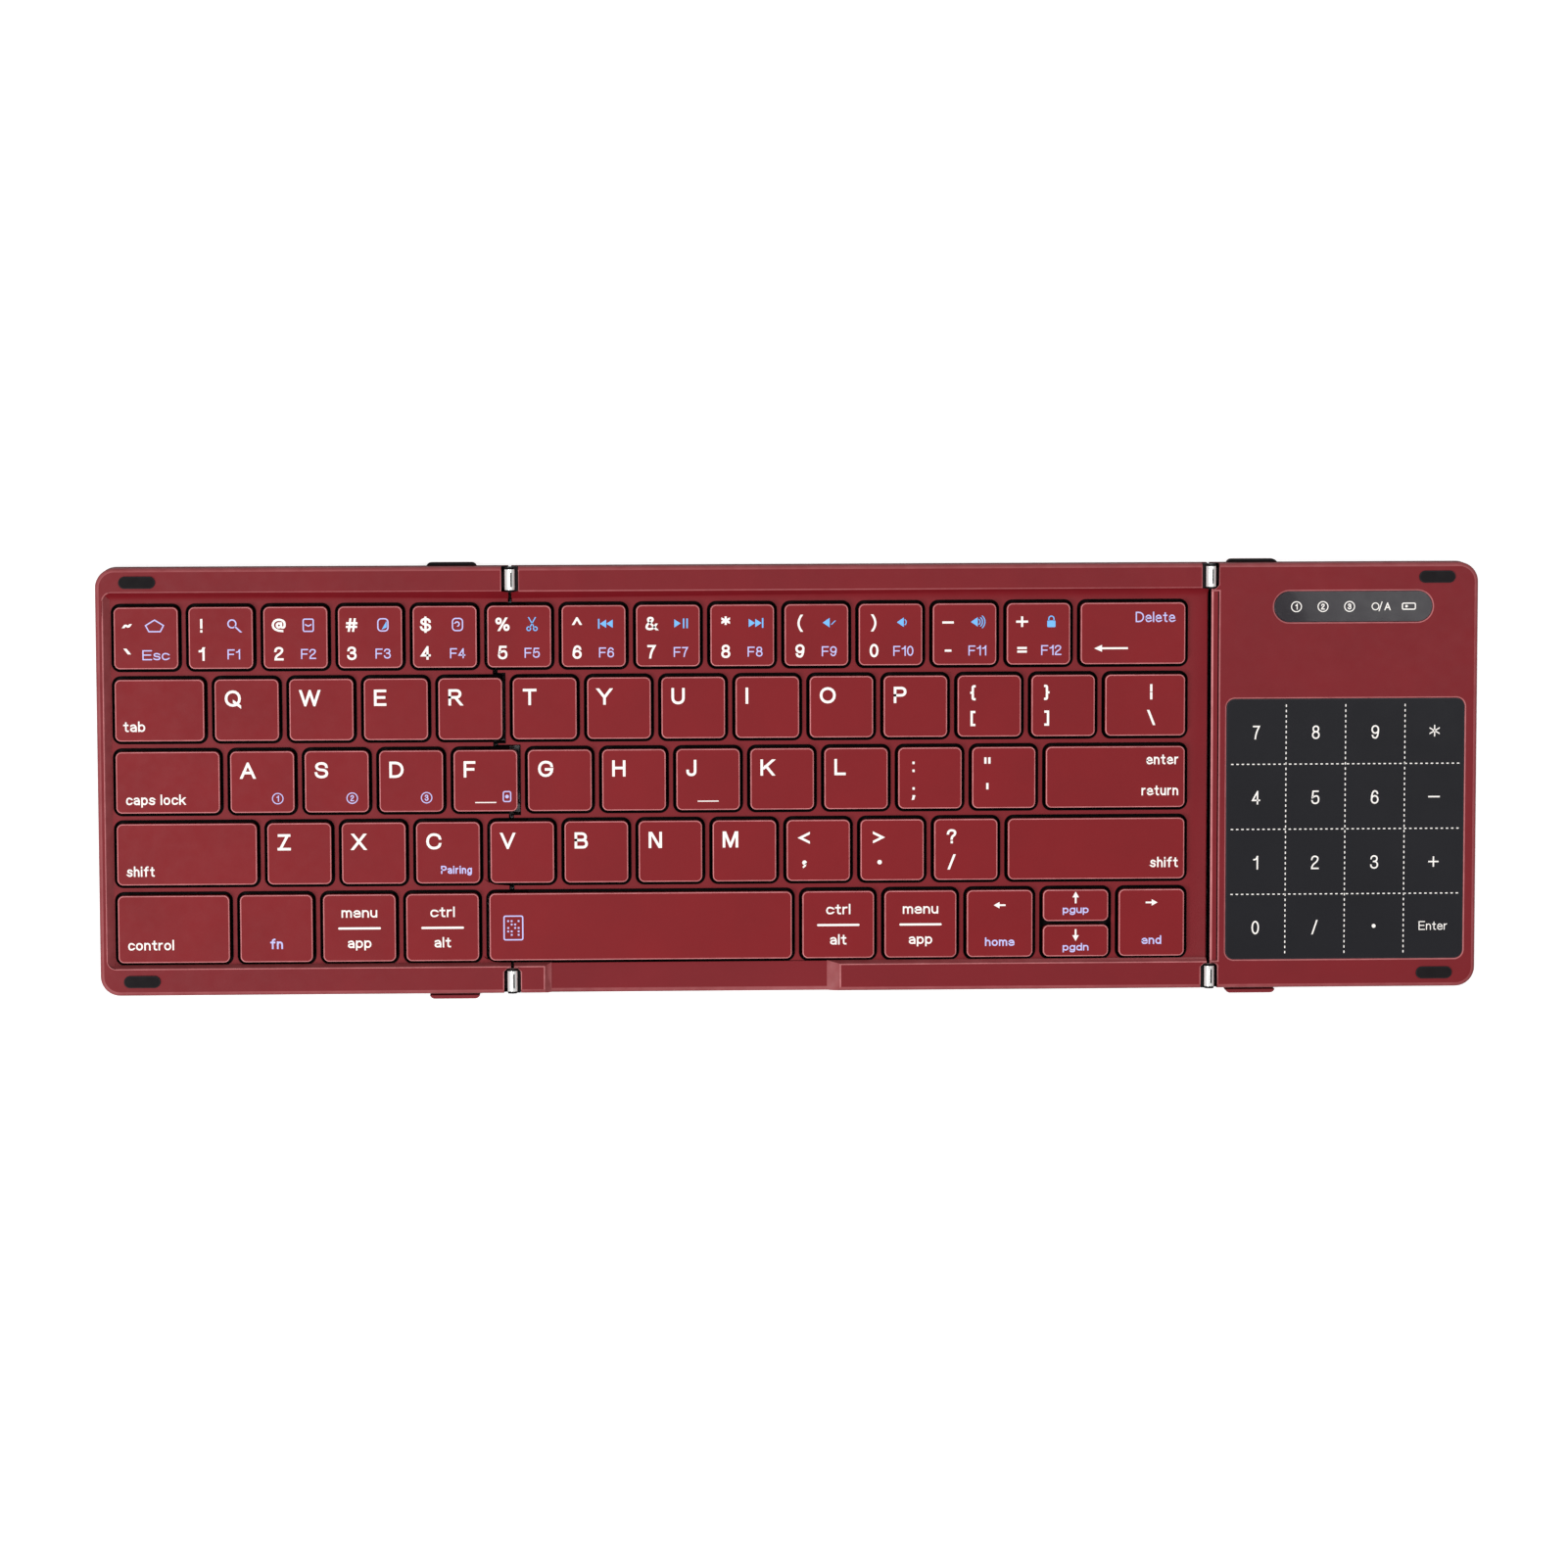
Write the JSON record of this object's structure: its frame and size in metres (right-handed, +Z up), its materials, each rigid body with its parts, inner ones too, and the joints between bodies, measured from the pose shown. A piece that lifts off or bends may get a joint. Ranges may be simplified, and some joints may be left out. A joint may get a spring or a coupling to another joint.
{
  "type": "folding keyboard",
  "caption": "Slim keyboard in three hinged panels that fold over each other, with low square keys and a touch panel beside them.",
  "frame": {"origin": "under the middle of the open body, at the table", "axes": "+X right, +Y to the rear, +Z up"},
  "size_m": [0.318, 0.102, 0.009],
  "materials": {
    "shell_red": "fine moulded grain",
    "frame_red": "satin, fine moulded grain",
    "keycap_red": "satin",
    "plate_steel": "black coated sheet",
    "dome_rubber": "matte",
    "link_plastic": "moulded",
    "black_rubber": "matte",
    "rail_plastic": "matte",
    "hinge_chrome": "polished",
    "bracket_dark": "dark plated",
    "touch_black": "satin sheet",
    "window_black": "gloss",
    "board_green": "lacquered",
    "battery_silver": "foil",
    "flex_amber": "film"
  },
  "bodies": {
    "centre_panel": {"centre_base_shell": "shell_red", "centre_top_frame": "frame_red", "centre_switch_plate": "plate_steel", "centre_rubber_domes": "dome_rubber", "centre_scissor_links": "link_plastic", "rubber_feet": "black_rubber", "hinge_brackets": "bracket_dark", "hinge_pins": "hinge_chrome", "flex_cables": "flex_amber"},
    "left_panel": {"left_base_shell": "shell_red", "left_top_frame": "frame_red", "left_switch_plate": "plate_steel", "left_rubber_domes": "dome_rubber", "left_scissor_links": "link_plastic", "left_foot_rail": "rail_plastic", "left_bumper_pads": "black_rubber", "left_hinge_knuckles": "hinge_chrome"},
    "right_panel": {"right_base_shell": "shell_red", "right_top_cover": "frame_red", "touch_panel": "touch_black", "indicator_window": "window_black", "main_board": "board_green", "battery": "battery_silver", "usb_port": "hinge_chrome", "right_foot_rail": "rail_plastic", "right_bumper_pads": "black_rubber", "right_hinge_knuckles": "hinge_chrome"},
    "number_keys_left_body": {"number_keys_left": "keycap_red"},
    "modifier_keys_left_body": {"modifier_keys_left": "keycap_red"},
    "number_keys_centre_body": {"number_keys_centre": "keycap_red"},
    "symbol_keys_body": {"symbol_keys": "keycap_red"},
    "modifier_keys_right_body": {"modifier_keys_right": "keycap_red"},
    "arrow_keys_body": {"arrow_keys": "keycap_red"},
    "space_key_body": {"space_key": "keycap_red"},
    "key_q_body": {"key_q": "keycap_red"},
    "key_w_body": {"key_w": "keycap_red"},
    "key_e_body": {"key_e": "keycap_red"},
    "key_r_body": {"key_r": "keycap_red"},
    "key_t_body": {"key_t": "keycap_red"},
    "key_y_body": {"key_y": "keycap_red"},
    "key_u_body": {"key_u": "keycap_red"},
    "key_i_body": {"key_i": "keycap_red"},
    "key_o_body": {"key_o": "keycap_red"},
    "key_p_body": {"key_p": "keycap_red"},
    "key_a_body": {"key_a": "keycap_red"},
    "key_s_body": {"key_s": "keycap_red"},
    "key_d_body": {"key_d": "keycap_red"},
    "key_f_body": {"key_f": "keycap_red"},
    "key_g_body": {"key_g": "keycap_red"},
    "key_h_body": {"key_h": "keycap_red"},
    "key_j_body": {"key_j": "keycap_red"},
    "key_k_body": {"key_k": "keycap_red"},
    "key_l_body": {"key_l": "keycap_red"},
    "key_z_body": {"key_z": "keycap_red"},
    "key_x_body": {"key_x": "keycap_red"},
    "key_c_body": {"key_c": "keycap_red"},
    "key_v_body": {"key_v": "keycap_red"},
    "key_b_body": {"key_b": "keycap_red"},
    "key_n_body": {"key_n": "keycap_red"},
    "key_m_body": {"key_m": "keycap_red"}
  },
  "joints": [
    {"name": "fold_left", "type": "hinge", "parent": "centre_panel", "child": "left_panel", "pos_m": [-0.06427, 0, 0.00785], "axis": [0, 1, 0], "range_deg": [0, 180], "deforming": ["flex_cables"]},
    {"name": "fold_right", "type": "hinge", "parent": "centre_panel", "child": "right_panel", "pos_m": [0.097, 0, 0.00785], "axis": [0, -1, 0], "range_deg": [0, 180], "deforming": ["flex_cables"]},
    {"name": "press_number_keys_left", "type": "slide", "parent": "left_panel", "child": "number_keys_left_body", "axis": [0, 0, -1], "range_m": [0, 0.0015], "stiffness_N_per_m": 400, "springref_m": -0.0005, "deforming": ["left_rubber_domes", "left_scissor_links"]},
    {"name": "press_modifier_keys_left", "type": "slide", "parent": "left_panel", "child": "modifier_keys_left_body", "axis": [0, 0, -1], "range_m": [0, 0.0015], "stiffness_N_per_m": 400, "springref_m": -0.0005, "deforming": ["left_rubber_domes", "left_scissor_links"]},
    {"name": "press_number_keys_centre", "type": "slide", "parent": "centre_panel", "child": "number_keys_centre_body", "axis": [0, 0, -1], "range_m": [0, 0.0015], "stiffness_N_per_m": 400, "springref_m": -0.0005, "deforming": ["centre_rubber_domes", "centre_scissor_links"]},
    {"name": "press_symbol_keys", "type": "slide", "parent": "centre_panel", "child": "symbol_keys_body", "axis": [0, 0, -1], "range_m": [0, 0.0015], "stiffness_N_per_m": 400, "springref_m": -0.0005, "deforming": ["centre_rubber_domes", "centre_scissor_links"]},
    {"name": "press_modifier_keys_right", "type": "slide", "parent": "centre_panel", "child": "modifier_keys_right_body", "axis": [0, 0, -1], "range_m": [0, 0.0015], "stiffness_N_per_m": 400, "springref_m": -0.0005, "deforming": ["centre_rubber_domes", "centre_scissor_links"]},
    {"name": "press_arrow_keys", "type": "slide", "parent": "centre_panel", "child": "arrow_keys_body", "axis": [0, 0, -1], "range_m": [0, 0.0015], "stiffness_N_per_m": 400, "springref_m": -0.0005, "deforming": ["centre_rubber_domes", "centre_scissor_links"]},
    {"name": "press_space_key", "type": "slide", "parent": "centre_panel", "child": "space_key_body", "axis": [0, 0, -1], "range_m": [0, 0.0015], "stiffness_N_per_m": 400, "springref_m": -0.0005, "deforming": ["centre_rubber_domes", "centre_scissor_links"]},
    {"name": "press_key_q", "type": "slide", "parent": "left_panel", "child": "key_q_body", "axis": [0, 0, -1], "range_m": [0, 0.0015], "stiffness_N_per_m": 400, "springref_m": -0.0005, "deforming": ["left_rubber_domes", "left_scissor_links"]},
    {"name": "press_key_w", "type": "slide", "parent": "left_panel", "child": "key_w_body", "axis": [0, 0, -1], "range_m": [0, 0.0015], "stiffness_N_per_m": 400, "springref_m": -0.0005, "deforming": ["left_rubber_domes", "left_scissor_links"]},
    {"name": "press_key_e", "type": "slide", "parent": "left_panel", "child": "key_e_body", "axis": [0, 0, -1], "range_m": [0, 0.0015], "stiffness_N_per_m": 400, "springref_m": -0.0005, "deforming": ["left_rubber_domes", "left_scissor_links"]},
    {"name": "press_key_r", "type": "slide", "parent": "left_panel", "child": "key_r_body", "axis": [0, 0, -1], "range_m": [0, 0.0015], "stiffness_N_per_m": 400, "springref_m": -0.0005, "deforming": ["left_rubber_domes", "left_scissor_links"]},
    {"name": "press_key_t", "type": "slide", "parent": "centre_panel", "child": "key_t_body", "axis": [0, 0, -1], "range_m": [0, 0.0015], "stiffness_N_per_m": 400, "springref_m": -0.0005, "deforming": ["centre_rubber_domes", "centre_scissor_links"]},
    {"name": "press_key_y", "type": "slide", "parent": "centre_panel", "child": "key_y_body", "axis": [0, 0, -1], "range_m": [0, 0.0015], "stiffness_N_per_m": 400, "springref_m": -0.0005, "deforming": ["centre_rubber_domes", "centre_scissor_links"]},
    {"name": "press_key_u", "type": "slide", "parent": "centre_panel", "child": "key_u_body", "axis": [0, 0, -1], "range_m": [0, 0.0015], "stiffness_N_per_m": 400, "springref_m": -0.0005, "deforming": ["centre_rubber_domes", "centre_scissor_links"]},
    {"name": "press_key_i", "type": "slide", "parent": "centre_panel", "child": "key_i_body", "axis": [0, 0, -1], "range_m": [0, 0.0015], "stiffness_N_per_m": 400, "springref_m": -0.0005, "deforming": ["centre_rubber_domes", "centre_scissor_links"]},
    {"name": "press_key_o", "type": "slide", "parent": "centre_panel", "child": "key_o_body", "axis": [0, 0, -1], "range_m": [0, 0.0015], "stiffness_N_per_m": 400, "springref_m": -0.0005, "deforming": ["centre_rubber_domes", "centre_scissor_links"]},
    {"name": "press_key_p", "type": "slide", "parent": "centre_panel", "child": "key_p_body", "axis": [0, 0, -1], "range_m": [0, 0.0015], "stiffness_N_per_m": 400, "springref_m": -0.0005, "deforming": ["centre_rubber_domes", "centre_scissor_links"]},
    {"name": "press_key_a", "type": "slide", "parent": "left_panel", "child": "key_a_body", "axis": [0, 0, -1], "range_m": [0, 0.0015], "stiffness_N_per_m": 400, "springref_m": -0.0005, "deforming": ["left_rubber_domes", "left_scissor_links"]},
    {"name": "press_key_s", "type": "slide", "parent": "left_panel", "child": "key_s_body", "axis": [0, 0, -1], "range_m": [0, 0.0015], "stiffness_N_per_m": 400, "springref_m": -0.0005, "deforming": ["left_rubber_domes", "left_scissor_links"]},
    {"name": "press_key_d", "type": "slide", "parent": "left_panel", "child": "key_d_body", "axis": [0, 0, -1], "range_m": [0, 0.0015], "stiffness_N_per_m": 400, "springref_m": -0.0005, "deforming": ["left_rubber_domes", "left_scissor_links"]},
    {"name": "press_key_f", "type": "slide", "parent": "left_panel", "child": "key_f_body", "axis": [0, 0, -1], "range_m": [0, 0.0015], "stiffness_N_per_m": 400, "springref_m": -0.0005, "deforming": ["left_rubber_domes", "left_scissor_links"]},
    {"name": "press_key_g", "type": "slide", "parent": "centre_panel", "child": "key_g_body", "axis": [0, 0, -1], "range_m": [0, 0.0015], "stiffness_N_per_m": 400, "springref_m": -0.0005, "deforming": ["centre_rubber_domes", "centre_scissor_links"]},
    {"name": "press_key_h", "type": "slide", "parent": "centre_panel", "child": "key_h_body", "axis": [0, 0, -1], "range_m": [0, 0.0015], "stiffness_N_per_m": 400, "springref_m": -0.0005, "deforming": ["centre_rubber_domes", "centre_scissor_links"]},
    {"name": "press_key_j", "type": "slide", "parent": "centre_panel", "child": "key_j_body", "axis": [0, 0, -1], "range_m": [0, 0.0015], "stiffness_N_per_m": 400, "springref_m": -0.0005, "deforming": ["centre_rubber_domes", "centre_scissor_links"]},
    {"name": "press_key_k", "type": "slide", "parent": "centre_panel", "child": "key_k_body", "axis": [0, 0, -1], "range_m": [0, 0.0015], "stiffness_N_per_m": 400, "springref_m": -0.0005, "deforming": ["centre_rubber_domes", "centre_scissor_links"]},
    {"name": "press_key_l", "type": "slide", "parent": "centre_panel", "child": "key_l_body", "axis": [0, 0, -1], "range_m": [0, 0.0015], "stiffness_N_per_m": 400, "springref_m": -0.0005, "deforming": ["centre_rubber_domes", "centre_scissor_links"]},
    {"name": "press_key_z", "type": "slide", "parent": "left_panel", "child": "key_z_body", "axis": [0, 0, -1], "range_m": [0, 0.0015], "stiffness_N_per_m": 400, "springref_m": -0.0005, "deforming": ["left_rubber_domes", "left_scissor_links"]},
    {"name": "press_key_x", "type": "slide", "parent": "left_panel", "child": "key_x_body", "axis": [0, 0, -1], "range_m": [0, 0.0015], "stiffness_N_per_m": 400, "springref_m": -0.0005, "deforming": ["left_rubber_domes", "left_scissor_links"]},
    {"name": "press_key_c", "type": "slide", "parent": "left_panel", "child": "key_c_body", "axis": [0, 0, -1], "range_m": [0, 0.0015], "stiffness_N_per_m": 400, "springref_m": -0.0005, "deforming": ["left_rubber_domes", "left_scissor_links"]},
    {"name": "press_key_v", "type": "slide", "parent": "centre_panel", "child": "key_v_body", "axis": [0, 0, -1], "range_m": [0, 0.0015], "stiffness_N_per_m": 400, "springref_m": -0.0005, "deforming": ["centre_rubber_domes", "centre_scissor_links"]},
    {"name": "press_key_b", "type": "slide", "parent": "centre_panel", "child": "key_b_body", "axis": [0, 0, -1], "range_m": [0, 0.0015], "stiffness_N_per_m": 400, "springref_m": -0.0005, "deforming": ["centre_rubber_domes", "centre_scissor_links"]},
    {"name": "press_key_n", "type": "slide", "parent": "centre_panel", "child": "key_n_body", "axis": [0, 0, -1], "range_m": [0, 0.0015], "stiffness_N_per_m": 400, "springref_m": -0.0005, "deforming": ["centre_rubber_domes", "centre_scissor_links"]},
    {"name": "press_key_m", "type": "slide", "parent": "centre_panel", "child": "key_m_body", "axis": [0, 0, -1], "range_m": [0, 0.0015], "stiffness_N_per_m": 400, "springref_m": -0.0005, "deforming": ["centre_rubber_domes", "centre_scissor_links"]}
  ]
}
